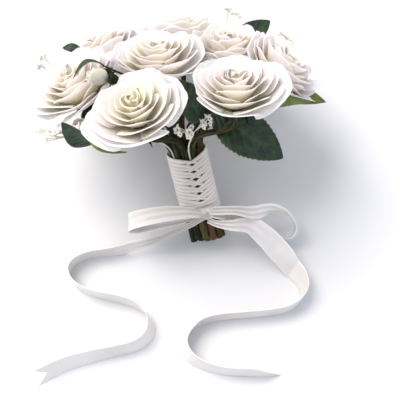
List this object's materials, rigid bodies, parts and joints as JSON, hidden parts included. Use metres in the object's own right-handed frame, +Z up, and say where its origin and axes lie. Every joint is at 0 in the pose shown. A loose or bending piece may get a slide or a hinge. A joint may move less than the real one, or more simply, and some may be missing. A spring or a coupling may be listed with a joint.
{
  "type": "tied rose bouquet",
  "caption": "Hand-tied bouquet of open white roses with rose leaves and small filler blossoms, stems wrapped in ribbon and tied with a bow whose long tails trail over the surface",
  "frame": {"origin": "centre of the bounding box's footprint, on the surface that the bouquet lies on", "axes": "X to the right across the bunch, Y from the trailing ribbon ends and the cut stems towards the blooms, Z up from the surface"},
  "size_m": [0.3474, 0.3784, 0.2156],
  "materials": {
    "petal_satin": "soft satin petal",
    "stem_green": "matte green and brown bark",
    "leaf_green": "waxy dark green leaf",
    "blossom_white": "matte",
    "floral_tape": "matte tape",
    "satin_ribbon": "satin"
  },
  "bodies": {
    "root": {"binding_tape": "floral_tape", "bow_band": "satin_ribbon", "bow_knot": "satin_ribbon", "bow_loop_left": "satin_ribbon", "bow_loop_right": "satin_ribbon", "filler_front": "blossom_white", "filler_left": "blossom_white", "filler_right": "blossom_white", "filler_top_left": "blossom_white", "filler_top_right": "blossom_white", "handle_wrap": "satin_ribbon", "leaf_back": "leaf_green", "leaf_back_left": "leaf_green", "leaf_front_left": "leaf_green", "leaf_front_right": "leaf_green", "leaf_middle": "leaf_green", "leaf_right": "leaf_green", "leaf_top_left": "leaf_green", "leaf_top_right": "leaf_green", "ribbon_tail_left": "satin_ribbon", "ribbon_tail_right": "satin_ribbon", "rose_back": "petal_satin", "rose_back_left": "petal_satin", "rose_back_right": "petal_satin", "rose_bud": "petal_satin", "rose_front_left": "petal_satin", "rose_front_right": "petal_satin", "rose_left": "petal_satin", "rose_right": "petal_satin", "rose_top_back": "petal_satin", "rose_top_front": "petal_satin", "rose_top_right": "petal_satin", "stem_back": "stem_green", "stem_back_left": "stem_green", "stem_back_right": "stem_green", "stem_bud": "stem_green", "stem_front_left": "stem_green", "stem_front_right": "stem_green", "stem_left": "stem_green", "stem_right": "stem_green", "stem_top_back": "stem_green", "stem_top_front": "stem_green", "stem_top_right": "stem_green"}
  },
  "joints": []
}
